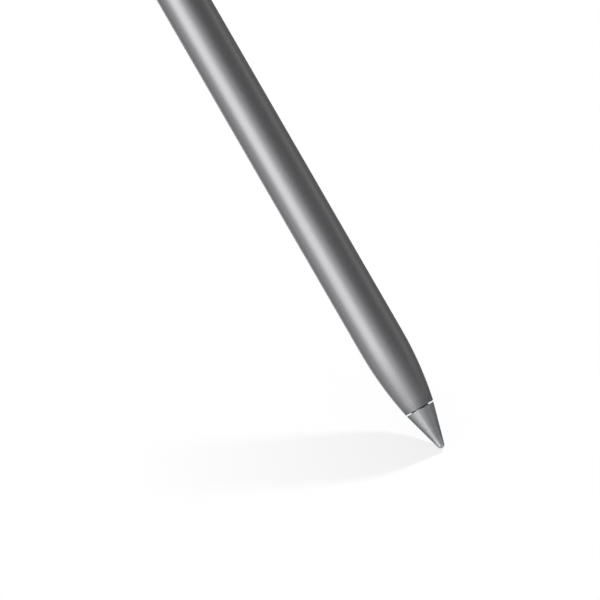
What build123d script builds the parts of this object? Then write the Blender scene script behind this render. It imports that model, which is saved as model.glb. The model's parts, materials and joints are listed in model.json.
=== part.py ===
from build123d import *
import math
import os

# A stylus pen for touch screens. It stands on its writing tip: the tip is the origin, +Z runs up
# the barrel to the end cap, and +Y is the side that charges against a tablet's edge.
# Lengths are in millimetres.

# Outside of the pen
pen_length = 162.0
barrel_diameter = 8.9
barrel_wall = 0.8
nose_length = 14.15
nose_wall = 0.7
mouth_diameter = 5.88
mouth_lip = 0.59
rim_edge = 0.1

# Fits between pieces, and how far a cut runs past what it cuts
slide_gap = 0.05
seat_gap = 0.02
overrun = 1.0

# Nib: cone, neck and the collet in its socket
nib_length = 8.32
nib_step = 0.1
nib_tip_radius = 0.72
nib_gap = 0.24
neck_wall = 0.53
collet_wall = 0.4
collet_slit_width = 0.3
collet_slit_length = 3.6
collet_slit_count = 4
socket_clearance = 0.4

# Pressure rod: peg, shoulder, stop flange and spindle
peg_length = 6.5
peg_edge = 0.25
shoulder_clearance = 0.15
flange_thickness = 0.8
flange_clearance = 0.12
spindle_diameter = 2.2
spindle_reach = 1.0

# Bush, seal, washer and electrode in the nose
bush_recess = 0.25
bush_seat_length = 4.0
bush_flange = 0.7
bush_wall = 0.48
wiper_width = 0.5
wiper_thickness = 0.45
washer_thickness = 0.5
washer_width = 0.92
electrode_thickness = 0.15

# Return spring
spring_length = 4.4
spring_wire = 0.3
spring_clearance = 0.25
spring_turns = 4
arcs_per_turn = 4

# Force sensor and its housing
housing_spigot = 0.8
housing_floor = 0.8
housing_wall = 0.6
pad_thickness = 0.8
pad_inset = 0.2
button_height = 0.3
sensor_height = 0.6
sensor_corner_gap = 0.75
sensor_board_thickness = 0.6
plug_length = 4.6
plug_wall = 1.0
plug_slot_width = 0.8
plug_slot_depth = 0.9

# Ribbons and their sockets on the main board
ribbon_width = 2.2
ribbon_thickness = 0.12
ribbon_tuck = 1.2
ribbon_bend_radius = 0.8
channel_gap = 0.2
connector_cheek = 0.6
connector_height = 0.9
connector_length = 2.2
connector_edge_gap = 0.4

# Chassis: an open-sided tube with hoops, rails, bosses and a deck
chassis_wall = 0.5
hoop_length = 2.4
window_height = 0.3
rail_height = 0.6
rail_overlap = 0.45
boss_diameter = 2.0
bulkhead_thickness = 1.2
deck_height = 0.4

# Main board and what is soldered to it
board_thickness = 0.6
board_end_gap = 0.5
board_side_gap = 0.12
board_corner_radius = 0.4
chip_spacing = 1.6
controller_width = 4.0
controller_height = 0.8
radio_width = 2.6
radio_height = 0.55
motion_width = 2.0
motion_length = 2.5
motion_height = 0.75
charger_width = 2.2
charger_height = 0.6
can_sheet = 0.12
can_side_gap = 0.48
can_end_gap = 2.0
can_top_gap = 0.3
capacitor_width = 0.5
capacitor_length = 1.0
capacitor_pitch = 2.2
capacitors_per_row = 3
capacitor_edge_gap = 0.35

# Board screws
screw_diameter = 1.0
screw_head_diameter = 1.7
screw_head_height = 0.4
screw_bite = 1.4
screw_slot_width = 0.25
screw_slot_depth = 0.2
screw_pocket_depth = 0.25

# Cell, its tabs and its cushion
cell_gap = 0.12
cell_edge = 0.5
tab_bay = 3.0
tab_width = 1.0
tab_thickness = 0.15
tab_spacing = 2.6
tab_overlap = 1.8
tab_rise = 1.4
foam_thickness = 0.8

# Charging coil, ferrite and magnets on the chassis deck
ferrite_length = 16.0
ferrite_thickness = 0.5
ferrite_side_gap = 0.25
coil_thickness = 0.6
coil_margin = 0.3
coil_band = 1.3
magnet_length = 6.0
magnet_width = 3.0
magnet_depth = 2.0
bay_gap = 0.6

# Touch strip on the barrel's inner wall
touch_length = 40.0
touch_thickness = 0.08
touch_angle = 110.0

# End of the pen: lock ring, end cap with its seal, and antenna
lock_ring_length = 2.0
lock_ring_wall = 0.9
lock_slot_width = 0.8
lock_slot_depth = 0.7
cap_length = 5.0
cap_corner_radius = 1.8
cap_crown_radius = 12.0
cap_spigot_length = 5.0
cap_spigot_wall = 0.85
cap_seal_section = 0.5
cap_seal_place = 2.0
carrier_flat = 0.8
antenna_thickness = 0.1
antenna_width = 1.6
antenna_margin = 0.6

# Heights from the tip to the sensor, each worked out from the one before
mouth = nib_length + nib_gap
nose_end = mouth + nose_length
bush_step = mouth + bush_seat_length
bush_rear = bush_step + bush_flange
washer_rear = bush_rear + seat_gap + washer_thickness
flange_front = washer_rear + seat_gap
flange_rear = flange_front + flange_thickness
housing_front = flange_rear + spring_length
housing_step = housing_front + housing_spigot
cavity_floor = housing_step + housing_floor
spindle_end = cavity_floor + spindle_reach
pad_front = spindle_end + seat_gap
button_front = pad_front + pad_thickness + seat_gap
sensor_front = button_front + button_height
sensor_board_front = sensor_front + sensor_height + seat_gap
plug_front = sensor_board_front + sensor_board_thickness + seat_gap
housing_end = plug_front + plug_length

# Heights along the main board
chassis_front = housing_end + seat_gap
board_front = chassis_front + board_end_gap
front_connector = board_front + connector_edge_gap
front_screw = front_connector + connector_length + chip_spacing + screw_head_diameter / 2
can_length = radio_width + 2 * (can_end_gap + can_sheet)
can_front = front_screw + screw_head_diameter / 2 + chip_spacing
controller_front = can_front + can_length + chip_spacing
motion_front = controller_front + controller_width + chip_spacing
charger_front = motion_front + motion_length + chip_spacing
capacitors_front = charger_front + charger_width + chip_spacing
capacitors_end = capacitors_front + (capacitors_per_row - 1) * capacitor_pitch + capacitor_length
rear_screw = capacitors_end + chip_spacing + screw_head_diameter / 2
rear_connector = rear_screw + screw_head_diameter / 2 + chip_spacing
board_end = rear_connector + connector_length + connector_edge_gap + tab_overlap
screw_heights = (front_screw, rear_screw)

# Heights back from the end cap; the cell fills the room that is left
barrel_end = pen_length - cap_length
spigot_front = barrel_end - cap_spigot_length
lock_ring_rear = spigot_front - seat_gap
lock_ring_front = lock_ring_rear - lock_ring_length
chassis_end = lock_ring_front - seat_gap
deck_end = chassis_end - hoop_length
rear_magnet = deck_end - bay_gap - magnet_length
ferrite_end = rear_magnet - bay_gap
ferrite_front = ferrite_end - ferrite_length
front_magnet = ferrite_front - bay_gap - magnet_length
deck_front = front_magnet - bay_gap
bulkhead_front = deck_front - bulkhead_thickness
foam_front = bulkhead_front - seat_gap - foam_thickness
cell_end = foam_front - seat_gap
cell_front = board_end + tab_bay


def nose_radius(height):
    """Outer radius of the nose at a height: an arc that runs into the straight barrel."""
    below = nose_end - height
    return barrel_radius - nose_arc_radius + math.sqrt(nose_arc_radius**2 - below**2)


def half_chord(radius, level):
    """Half the width of a round bore at a level off its axis."""
    return math.sqrt(radius**2 - level**2)


# Radii from the outside in
barrel_radius = barrel_diameter / 2
mouth_radius = mouth_diameter / 2
nose_drop = barrel_radius - mouth_radius
nose_arc_radius = (nose_length**2 + nose_drop**2) / (2 * nose_drop)
main_bore = barrel_radius - barrel_wall
spring_bore = nose_radius(bush_step) - nose_wall
bush_bore = mouth_radius - mouth_lip
neck_radius = bush_bore - seat_gap - bush_wall - slide_gap
socket_radius = neck_radius - neck_wall
collet_radius = socket_radius - seat_gap
peg_radius = collet_radius - collet_wall - seat_gap
electrode_outer = spring_bore - seat_gap
electrode_inner = electrode_outer - electrode_thickness
washer_radius = electrode_inner - seat_gap
washer_bore = washer_radius - washer_width
flange_radius = electrode_inner - flange_clearance
spindle_radius = spindle_diameter / 2
cavity_radius = main_bore - seat_gap - housing_wall
sensor_width = math.sqrt(2) * (cavity_radius - sensor_corner_gap)
pad_radius = sensor_width / 2 - pad_inset
chassis_outer = main_bore - seat_gap - touch_thickness - slide_gap
chassis_inner = chassis_outer - chassis_wall
cell_radius = chassis_inner - cell_gap
spigot_radius = main_bore - seat_gap
spigot_bore = spigot_radius - cap_spigot_wall
carrier_radius = spigot_bore - seat_gap

# Levels across the pen, along Y; the sensor's ribbon lies on the axis
board_top = -connector_height / 2
board_bottom = board_top - board_thickness
board_half_width = half_chord(chassis_inner, board_bottom) - board_side_gap
ferrite_bottom = deck_height + seat_gap
coil_bottom = ferrite_bottom + ferrite_thickness + seat_gap
coil_top = coil_bottom + coil_thickness
ferrite_half_width = half_chord(chassis_outer, coil_top) - ferrite_side_gap
carrier_top = carrier_radius - carrier_flat
antenna_top = carrier_top + seat_gap + antenna_thickness


def turned(outline):
    """A solid turned about the pen's axis from the edges of its half section."""
    return revolve(make_face(outline), Axis.Z)


def ring(outer, inner, bottom, top):
    """A plain ring about the pen's axis."""
    corners = [(outer, 0, bottom), (outer, 0, top), (inner, 0, top), (inner, 0, bottom)]
    return turned(Polyline(*corners, close=True))


def disc(radius, bottom, top):
    """A plain round plate or rod on the pen's axis."""
    return ring(radius, 0, bottom, top)


def block(x_limits, y_limits, z_limits):
    """A rectangular block between two limits on each axis."""
    limits = (x_limits, y_limits, z_limits)
    low = [pair[0] for pair in limits]
    size = [pair[1] - pair[0] for pair in limits]
    return Pos(*low) * Box(*size, align=(Align.MIN, Align.MIN, Align.MIN))


def across(middle, width):
    """The two limits of a width about its middle."""
    return (middle - width / 2, middle + width / 2)


def above(bottom, height):
    """The two limits of something that stands on a level."""
    return (bottom, bottom + height)


def post(radius, bottom, top, height):
    """A round post that points along +Y, between two levels, at a height along the pen."""
    return Pos(0, 0, height) * Rot(-90, 0, 0) * disc(radius, bottom, top)


def driver_slot(width, depth, top):
    """A cut across a round end, for a driver blade."""
    return block(across(0, barrel_diameter), across(0, width), (top - depth, top + overrun))


def make_barrel():
    """Moulded tube with a tapered nose and stepped bores, open at both ends."""
    rim_radius = nose_radius(mouth + rim_edge)
    mouth_edge = (mouth_radius - rim_edge, 0, mouth)
    nose_start = (rim_radius, 0, mouth + rim_edge)
    end_edge = (barrel_radius, 0, barrel_end - rim_edge)
    outline = [
        Line((bush_bore, 0, mouth), mouth_edge),
        Line(mouth_edge, nose_start),
        TangentArc((barrel_radius, 0, nose_end), nose_start, tangent=(0, 0, -1)),
        Line((barrel_radius, 0, nose_end), end_edge),
        Line(end_edge, (barrel_radius - rim_edge, 0, barrel_end)),
        Line((barrel_radius - rim_edge, 0, barrel_end), (main_bore, 0, barrel_end)),
        Line((main_bore, 0, barrel_end), (main_bore, 0, housing_step)),
        Line((main_bore, 0, housing_step), (spring_bore, 0, housing_step)),
        Line((spring_bore, 0, housing_step), (spring_bore, 0, bush_step)),
        Line((spring_bore, 0, bush_step), (bush_bore, 0, bush_step)),
        Line((bush_bore, 0, bush_step), (bush_bore, 0, mouth)),
    ]
    return turned(outline)


socket_floor = bush_rear - peg_length - socket_clearance


def make_nib():
    """Cone with a ball point, on a neck with a blind socket."""
    base_radius = mouth_radius - nib_step
    rise = nib_length - nib_tip_radius
    half_angle = math.atan2(base_radius, rise) - math.asin(nib_tip_radius / math.hypot(base_radius, rise))
    ball_edge = (nib_tip_radius * math.cos(half_angle), 0, nib_tip_radius * (1 - math.sin(half_angle)))
    cone_edge = (base_radius - rim_edge * math.tan(half_angle), 0, nib_length - rim_edge)
    back_edge = (base_radius - rim_edge, 0, nib_length)
    outline = [
        TangentArc((0, 0, 0), ball_edge, tangent=(1, 0, 0)),
        Line(ball_edge, cone_edge),
        Line(cone_edge, back_edge),
        Line(back_edge, (neck_radius, 0, nib_length)),
        Line((neck_radius, 0, nib_length), (neck_radius, 0, bush_rear)),
        Line((neck_radius, 0, bush_rear), (socket_radius, 0, bush_rear)),
        Line((socket_radius, 0, bush_rear), (socket_radius, 0, socket_floor)),
        Line((socket_radius, 0, socket_floor), (0, 0, socket_floor)),
        Line((0, 0, socket_floor), (0, 0, 0)),
    ]
    return turned(outline)


def make_nib_collet():
    """Brass sleeve in the nib's socket, slit from its front end so that it grips the peg."""
    front = socket_floor + seat_gap
    sleeve = ring(collet_radius, collet_radius - collet_wall, front, bush_rear)
    slit = block(
        (0, collet_radius + overrun),
        across(0, collet_slit_width),
        (front - overrun, front + collet_slit_length),
    )
    for number in range(collet_slit_count):
        sleeve -= Rot(0, 0, 360 * number / collet_slit_count) * slit
    return sleeve


def make_pressure_rod():
    """Peg for the nib, flange that stops on the washer, and a round-ended spindle."""
    peg_tip = bush_rear - peg_length
    shoulder_front = bush_rear + seat_gap
    shoulder_radius = washer_bore - shoulder_clearance
    dome_start = spindle_end - spindle_radius
    outline = [
        Line((0, 0, peg_tip), (peg_radius - peg_edge, 0, peg_tip)),
        Line((peg_radius - peg_edge, 0, peg_tip), (peg_radius, 0, peg_tip + peg_edge)),
        Line((peg_radius, 0, peg_tip + peg_edge), (peg_radius, 0, shoulder_front)),
        Line((peg_radius, 0, shoulder_front), (shoulder_radius, 0, shoulder_front)),
        Line((shoulder_radius, 0, shoulder_front), (shoulder_radius, 0, flange_front)),
        Line((shoulder_radius, 0, flange_front), (flange_radius, 0, flange_front)),
        Line((flange_radius, 0, flange_front), (flange_radius, 0, flange_rear)),
        Line((flange_radius, 0, flange_rear), (spindle_radius, 0, flange_rear)),
        Line((spindle_radius, 0, flange_rear), (spindle_radius, 0, dome_start)),
        TangentArc((spindle_radius, 0, dome_start), (0, 0, spindle_end), tangent=(0, 0, 1)),
        Line((0, 0, spindle_end), (0, 0, peg_tip)),
    ]
    return turned(outline)


def make_front_bush():
    """Flanged guide bush in the nose, with a pocket for the wiper seal."""
    bore = neck_radius + slide_gap
    sleeve = ring(bush_bore - seat_gap, bore, mouth + bush_recess, bush_rear)
    flange = ring(electrode_outer, bore, bush_step + seat_gap, bush_rear)
    pocket = disc(bore + wiper_width, bush_rear - wiper_thickness, bush_rear + overrun)
    return sleeve + flange - pocket


def make_wiper_seal():
    """Soft ring in the bush's pocket, round the nib's neck."""
    outer = neck_radius + slide_gap + wiper_width - seat_gap
    return ring(outer, neck_radius + seat_gap, bush_rear - wiper_thickness + seat_gap, bush_rear)


def make_stop_washer():
    """Soft washer behind the bush, where the rod's flange comes to rest."""
    return ring(washer_radius, washer_bore, bush_rear + seat_gap, washer_rear)


def make_tilt_electrode():
    """Thin metal sleeve that lines the nose round the spring."""
    return ring(electrode_outer, electrode_inner, bush_rear + seat_gap, housing_step)


def biarc(start, start_way, end, end_way):
    """Two arcs that leave one point and reach another along the given unit directions."""
    chord = end - start
    along = chord.dot(start_way + end_way)
    spread = 2 * (1 - start_way.dot(end_way))
    reach = (math.sqrt(along**2 + spread * chord.dot(chord)) - along) / spread
    first_corner = start + start_way * reach
    second_corner = end - end_way * reach
    middle = (first_corner + second_corner) / 2
    middle_way = (second_corner - first_corner).normalized()
    return [TangentArc(start, middle, tangent=start_way), TangentArc(middle, end, tangent=middle_way)]


def make_return_spring():
    """Coil spring between the rod's flange and the sensor housing, swept on quarter-turn biarcs."""
    coil_radius = flange_radius - spring_clearance - spring_wire / 2
    low = flange_rear + seat_gap + spring_wire / 2
    high = housing_front - seat_gap - spring_wire / 2
    climb = (high - low) / (2 * math.pi * spring_turns)
    places = []
    ways = []
    for step in range(spring_turns * arcs_per_turn + 1):
        angle = 2 * math.pi * step / arcs_per_turn
        around = Vector(math.cos(angle), math.sin(angle), 0)
        forward = Vector(-math.sin(angle), math.cos(angle), 0)
        places.append(around * coil_radius + Vector(0, 0, low + climb * angle))
        ways.append((forward * coil_radius + Vector(0, 0, climb)).normalized())
    path = []
    for step in range(len(places) - 1):
        path += biarc(places[step], ways[step], places[step + 1], ways[step + 1])
    turn_apart = zip(places, places[arcs_per_turn:])
    gap = min((upper - lower).length for lower, upper in turn_apart) - spring_wire
    print("return_spring: least gap between turns", round(gap, 3))
    return sweep(Plane(places[0], z_dir=ways[0]) * Circle(spring_wire / 2), path=Wire(path))


def make_sensor_housing():
    """Cup that seats on the barrel's step and takes the sensor; the spindle enters its floor."""
    cup = disc(spigot_radius, housing_step + seat_gap, housing_end)
    spigot = disc(electrode_inner - seat_gap, housing_front, cavity_floor)
    cavity = disc(cavity_radius, cavity_floor, housing_end + overrun)
    hole = disc(spindle_radius + slide_gap, housing_front - overrun, cavity_floor + overrun)
    return cup + spigot - cavity - hole


def make_force_sensor():
    """Square sensor package with a round button that faces the pad."""
    package = block(
        across(0, sensor_width), across(0, sensor_width), above(sensor_front, sensor_height)
    )
    return package + disc(pad_radius, button_front, sensor_front)


def make_sensor_plug():
    """Plug that clamps the sensor board, with a bore for the ribbon and a driver slot."""
    outer = cavity_radius - seat_gap
    plug = ring(outer, outer - plug_wall, plug_front, housing_end)
    return plug - driver_slot(plug_slot_width, plug_slot_depth, housing_end)


def make_sensor_flex():
    """Ribbon along the axis, from the sensor board into the front socket."""
    return block(
        across(0, ribbon_width),
        across(0, ribbon_thickness),
        (plug_front, front_connector + ribbon_tuck),
    )


def make_chassis():
    """Open-sided tube: hoops at the ends and middle, rails and bosses for the board, a coil deck."""
    bay = disc(chassis_inner, chassis_front - overrun, bulkhead_front)
    rail_inner = half_chord(chassis_inner, board_bottom - rail_height) - rail_overlap
    rail_levels = (board_bottom - rail_height, board_bottom - seat_gap)
    for rail_limits in ((-barrel_radius, -rail_inner), (rail_inner, barrel_radius)):
        bay -= block(rail_limits, rail_levels, (board_front, board_end))
    for height in screw_heights:
        bay -= post(boss_diameter / 2, -barrel_radius, board_bottom - seat_gap, height)
    frame = disc(chassis_outer, chassis_front, chassis_end) - bay
    frame -= disc(chassis_inner, deck_end, chassis_end + overrun)
    open_sides = [
        (window_height, chassis_front + hoop_length, board_end),
        (window_height, board_end + hoop_length, bulkhead_front),
        (deck_height, deck_front, deck_end),
    ]
    for level, front, end in open_sides:
        frame -= block(across(0, barrel_diameter), (level, barrel_diameter), (front, end))
    channel_width = ribbon_width + 2 * channel_gap
    hoop_limits = above(board_end, hoop_length)
    frame -= block(across(0, channel_width), (0, barrel_diameter), hoop_limits)
    notch_levels = (chassis_inner - slide_gap, barrel_diameter)
    frame -= block(across(0, channel_width), notch_levels, (bulkhead_front, deck_front))
    hole_bottom = board_bottom - screw_bite - screw_pocket_depth
    for height in screw_heights:
        frame -= post(screw_diameter / 2 + seat_gap, hole_bottom, board_bottom, height)
    for front in (front_magnet, rear_magnet):
        frame -= block(
            across(0, magnet_width + 2 * seat_gap),
            (deck_height - magnet_depth - seat_gap, deck_height + overrun),
            (front - seat_gap, front + magnet_length + seat_gap),
        )
    return frame


def make_main_board():
    """Narrow circuit board on the chassis rails, drilled for its two screws."""
    plate = block(across(0, 2 * board_half_width), (board_bottom, board_top), (board_front, board_end))
    plate = fillet(plate.edges().filter_by(Axis.Y), board_corner_radius)
    for height in screw_heights:
        plate -= post(screw_diameter / 2 + slide_gap, board_bottom - overrun, board_top + overrun, height)
    return plate


def chip(width, thickness, front, length):
    """A package soldered on the board's top face."""
    return block(across(0, width), above(board_top, thickness), above(front, length))


def make_shield_can():
    """Pressed lid of thin sheet over the radio chip, open towards the board."""
    inner_width = radio_width + 2 * can_side_gap
    inner_top = board_top + radio_height + can_top_gap
    outside = chip(inner_width + 2 * can_sheet, radio_height + can_top_gap + can_sheet, can_front, can_length)
    inside = block(
        across(0, inner_width),
        (board_top - overrun, inner_top),
        (can_front + can_sheet, can_front + can_length - can_sheet),
    )
    return outside - inside


def make_board_capacitors():
    """Two rows of small capacitors along the board's edges, behind the charger chip."""
    side_middle = board_half_width - capacitor_edge_gap - capacitor_width / 2
    group = []
    for side in (-side_middle, side_middle):
        for number in range(capacitors_per_row):
            front = capacitors_front + number * capacitor_pitch
            group.append(Pos(side, 0, 0) * chip(capacitor_width, capacitor_width, front, capacitor_length))
    return Compound(children=group)


def make_flex_connectors():
    """A ribbon socket at each end of the board, with its mouth towards that end."""
    socket_width = ribbon_width + 2 * connector_cheek
    rear_mouth = rear_connector + connector_length - ribbon_tuck - seat_gap
    mouth_limits = {front_connector: front_connector - seat_gap, rear_connector: rear_mouth}
    group = []
    for front, mouth_front in mouth_limits.items():
        mouth_cut = block(
            across(0, ribbon_width + 2 * seat_gap),
            across(0, ribbon_thickness + 2 * seat_gap),
            above(mouth_front, ribbon_tuck + 2 * seat_gap),
        )
        group.append(chip(socket_width, connector_height, front, connector_length) - mouth_cut)
    return Compound(children=group)


def make_board_screws():
    """Two slotted screws through the board into the chassis bosses."""
    head_bottom = board_top + seat_gap
    head_top = head_bottom + screw_head_height
    screw = disc(screw_diameter / 2, board_bottom - screw_bite, head_top)
    screw += disc(screw_head_diameter / 2, head_bottom, head_top)
    screw -= driver_slot(screw_slot_width, screw_slot_depth, head_top)
    return Compound(children=[Pos(0, 0, height) * Rot(-90, 0, 0) * screw for height in screw_heights])


def make_battery_cell():
    """Round lithium cell that fills the room between the board and the bulkhead."""
    cell = disc(cell_radius, cell_front, cell_end)
    return chamfer(cell.edges().filter_by(GeomType.CIRCLE), cell_edge)


def make_battery_tabs():
    """Two welded strips: flat on the board, then up the cell's front end."""
    leg_rear = cell_front - seat_gap
    foot_levels = above(board_top + seat_gap, tab_thickness)
    leg_levels = above(board_top + seat_gap, tab_rise)
    group = []
    for side in (-tab_spacing / 2, tab_spacing / 2):
        foot = block(across(side, tab_width), foot_levels, (board_end - tab_overlap, leg_rear))
        leg = block(across(side, tab_width), leg_levels, (leg_rear - tab_thickness, leg_rear))
        group.append(foot + leg)
    return Compound(children=group)


def make_main_flex():
    """Ribbon from the rear socket over the cell and the coil to the antenna."""
    over_cell = chassis_inner + ribbon_thickness / 2
    over_coil = coil_top + seat_gap + ribbon_thickness / 2
    over_antenna = antenna_top + seat_gap + ribbon_thickness / 2
    start = (0, 0, rear_connector + connector_length - ribbon_tuck)
    route = [
        start,
        (0, 0, board_end),
        (0, over_cell, cell_front),
        (0, over_cell, deck_front + bay_gap),
        (0, over_coil, ferrite_front),
        (0, over_coil, ferrite_end),
        (0, over_antenna, spigot_front),
        (0, over_antenna, spigot_front + antenna_margin + ribbon_tuck),
    ]
    path = FilletPolyline(*route, radius=ribbon_bend_radius)
    section = Plane(start, x_dir=(1, 0, 0), z_dir=(0, 0, 1)) * Rectangle(ribbon_width, ribbon_thickness)
    return sweep(section, path=path)


def make_ferrite_plate():
    """Ferrite plate on the deck, under the coil."""
    return block(
        across(0, 2 * ferrite_half_width),
        above(ferrite_bottom, ferrite_thickness),
        (ferrite_front, ferrite_end),
    )


def make_charging_coil():
    """Flat oblong winding on the ferrite, facing the charging side."""
    length = ferrite_length - 2 * coil_margin
    width = 2 * (ferrite_half_width - coil_margin)
    winding = SlotOverall(length, width) - SlotOverall(length - 2 * coil_band, width - 2 * coil_band)
    middle = (ferrite_front + ferrite_end) / 2
    return Pos(0, coil_bottom, middle) * Rot(-90, 0, 0) * Rot(0, 0, 90) * extrude(winding, coil_thickness)


def make_holding_magnets():
    """Two block magnets let into the deck, in front of the ferrite and behind it."""
    group = []
    for front in (front_magnet, rear_magnet):
        levels = (deck_height - magnet_depth, deck_height)
        group.append(block(across(0, magnet_width), levels, above(front, magnet_length)))
    return Compound(children=group)


def make_touch_strip():
    """Curved sensing strip bonded to the barrel's inner wall on the charging side."""
    inner = spigot_radius - touch_thickness
    front, end = above(chassis_front + hoop_length, touch_length)
    corners = [(spigot_radius, 0, front), (spigot_radius, 0, end), (inner, 0, end), (inner, 0, front)]
    strip = revolve(make_face(Polyline(*corners, close=True)), Axis.Z, touch_angle)
    return Rot(0, 0, 90 - touch_angle / 2) * strip


def make_lock_ring():
    """Ring behind the chassis that holds it in the barrel, with a driver slot."""
    body = ring(spigot_radius, spigot_radius - lock_ring_wall, lock_ring_front, lock_ring_rear)
    return body - driver_slot(lock_slot_width, lock_slot_depth, lock_ring_rear)


def make_antenna_carrier():
    """Plastic core pressed into the end cap's spigot, flat where the antenna lies."""
    core = disc(carrier_radius, spigot_front, barrel_end - seat_gap)
    over_flat = (carrier_top, barrel_diameter)
    return core - block(across(0, barrel_diameter), over_flat, (spigot_front - overrun, barrel_end))


def make_antenna():
    """Thin metal strip on the carrier's flat."""
    return block(
        across(0, antenna_width),
        (carrier_top + seat_gap, antenna_top),
        (spigot_front + antenna_margin, barrel_end - antenna_margin),
    )


def make_end_cap():
    """Plug with a crowned end, a hollow spigot and a groove for its seal."""
    corner_middle = barrel_radius - cap_corner_radius
    crown_middle = pen_length - cap_crown_radius
    reach = cap_crown_radius - cap_corner_radius
    corner_rise = half_chord(reach, corner_middle)
    corner_start = (barrel_radius, 0, crown_middle + corner_rise)
    crown_scale = cap_crown_radius / reach
    crown_edge = (corner_middle * crown_scale, 0, crown_middle + corner_rise * crown_scale)
    rim = barrel_end + seat_gap
    rim_corner = (barrel_radius - rim_edge, 0, rim)
    outline = [
        Line((spigot_radius, 0, spigot_front), (spigot_radius, 0, rim)),
        Line((spigot_radius, 0, rim), rim_corner),
        Line(rim_corner, (barrel_radius, 0, rim + rim_edge)),
        Line((barrel_radius, 0, rim + rim_edge), corner_start),
        TangentArc(corner_start, crown_edge, tangent=(0, 0, 1)),
        TangentArc((0, 0, pen_length), crown_edge, tangent=(1, 0, 0)),
        Line((0, 0, pen_length), (0, 0, barrel_end)),
        Line((0, 0, barrel_end), (spigot_bore, 0, barrel_end)),
        Line((spigot_bore, 0, barrel_end), (spigot_bore, 0, spigot_front)),
        Line((spigot_bore, 0, spigot_front), (spigot_radius, 0, spigot_front)),
    ]
    groove_front, groove_end = across(spigot_front + cap_seal_place, cap_seal_section)
    return turned(outline) - ring(barrel_radius, main_bore - cap_seal_section, groove_front, groove_end)


def make_cap_seal():
    """Rubber ring in the cap's groove, against the barrel's bore."""
    seal = Torus(main_bore - cap_seal_section / 2, cap_seal_section / 2 - seat_gap)
    return Pos(0, 0, spigot_front + cap_seal_place) * seal


pieces = {
    "barrel": make_barrel(),
    "nib": make_nib(),
    "nib_collet": make_nib_collet(),
    "pressure_rod": make_pressure_rod(),
    "front_bush": make_front_bush(),
    "wiper_seal": make_wiper_seal(),
    "stop_washer": make_stop_washer(),
    "tilt_electrode": make_tilt_electrode(),
    "return_spring": make_return_spring(),
    "sensor_housing": make_sensor_housing(),
    "sensor_pad": disc(pad_radius, pad_front, pad_front + pad_thickness),
    "force_sensor": make_force_sensor(),
    "sensor_board": disc(cavity_radius - seat_gap, sensor_board_front, plug_front - seat_gap),
    "sensor_plug": make_sensor_plug(),
    "sensor_flex": make_sensor_flex(),
    "chassis": make_chassis(),
    "main_board": make_main_board(),
    "radio_chip": chip(radio_width, radio_height, can_front + can_sheet + can_end_gap, radio_width),
    "shield_can": make_shield_can(),
    "controller_chip": chip(controller_width, controller_height, controller_front, controller_width),
    "motion_sensor": chip(motion_width, motion_height, motion_front, motion_length),
    "charger_chip": chip(charger_width, charger_height, charger_front, charger_width),
    "board_capacitors": make_board_capacitors(),
    "flex_connectors": make_flex_connectors(),
    "board_screws": make_board_screws(),
    "battery_cell": make_battery_cell(),
    "battery_tabs": make_battery_tabs(),
    "battery_foam": disc(cell_radius - cell_edge, foam_front, foam_front + foam_thickness),
    "main_flex": make_main_flex(),
    "ferrite_plate": make_ferrite_plate(),
    "charging_coil": make_charging_coil(),
    "holding_magnets": make_holding_magnets(),
    "touch_strip": make_touch_strip(),
    "lock_ring": make_lock_ring(),
    "antenna_carrier": make_antenna_carrier(),
    "antenna": make_antenna(),
    "end_cap": make_end_cap(),
    "cap_seal": make_cap_seal(),
}

os.makedirs("parts", exist_ok=True)
for name, piece in pieces.items():
    export_step(piece, f"parts/{name}.step")
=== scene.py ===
import json
import math

import bmesh
import bpy
import numpy as np
from mathutils import Matrix, Vector


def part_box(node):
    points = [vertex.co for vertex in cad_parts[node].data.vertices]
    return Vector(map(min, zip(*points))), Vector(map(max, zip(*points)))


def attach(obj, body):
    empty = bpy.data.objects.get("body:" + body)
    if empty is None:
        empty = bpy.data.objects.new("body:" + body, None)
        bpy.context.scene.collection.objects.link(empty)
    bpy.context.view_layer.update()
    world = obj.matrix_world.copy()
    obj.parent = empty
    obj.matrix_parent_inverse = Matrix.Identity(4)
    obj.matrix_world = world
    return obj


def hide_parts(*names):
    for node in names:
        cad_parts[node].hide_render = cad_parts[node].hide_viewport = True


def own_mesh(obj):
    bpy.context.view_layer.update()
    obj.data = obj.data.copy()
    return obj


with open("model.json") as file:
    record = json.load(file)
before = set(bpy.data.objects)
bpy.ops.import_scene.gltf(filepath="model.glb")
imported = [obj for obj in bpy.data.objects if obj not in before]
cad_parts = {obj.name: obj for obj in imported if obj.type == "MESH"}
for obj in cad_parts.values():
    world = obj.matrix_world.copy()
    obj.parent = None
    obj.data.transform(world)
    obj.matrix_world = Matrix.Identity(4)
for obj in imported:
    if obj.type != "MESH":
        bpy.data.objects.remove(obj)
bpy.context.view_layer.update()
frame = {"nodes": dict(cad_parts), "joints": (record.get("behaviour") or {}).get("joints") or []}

# Barrel. A tube moulded in dark resin, which narrows to the nose in one long curve, open at both ends.
# It is sprayed with a satin metallic grey lacquer, which rubs paler where the end cap meets it. Towards the
# mouth the grey is darkened with painted shade, and the mouth's rim is painted black as shade.
mm = 0.001
seat_gap = 0.02 * mm
mouth_radius = 2.94 * mm
mouth_lip = 0.59 * mm
nose_length = 14.15 * mm
nose_steps = 72
rim_edge = 0.1 * mm
bush_flange = 0.7 * mm
merge_reach = 0.001 * mm
crease = math.radians(40)
# Reach of the painted shade that darkens the grey towards the mouth, and of the painted black rim.
mouth_shade_start, mouth_shade_full = 1.8 * mm, 0.6 * mm
rim_shade_start, rim_shade_full = 0.06 * mm, 0.036 * mm
worn_reach, worn_patch = 0.28 * mm, 0.5 * mm
flake_size, drift_size = 0.11 * mm, 1.6 * mm
peel_size, peel_depth = 0.35 * mm, 0.0012 * mm
lacquer_dark, lacquer_light = (0.155, 0.155, 0.160, 1), (0.235, 0.236, 0.242, 1)
lacquer_worn = (0.40, 0.40, 0.40, 1)
lacquer_metal = 0.92
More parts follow.
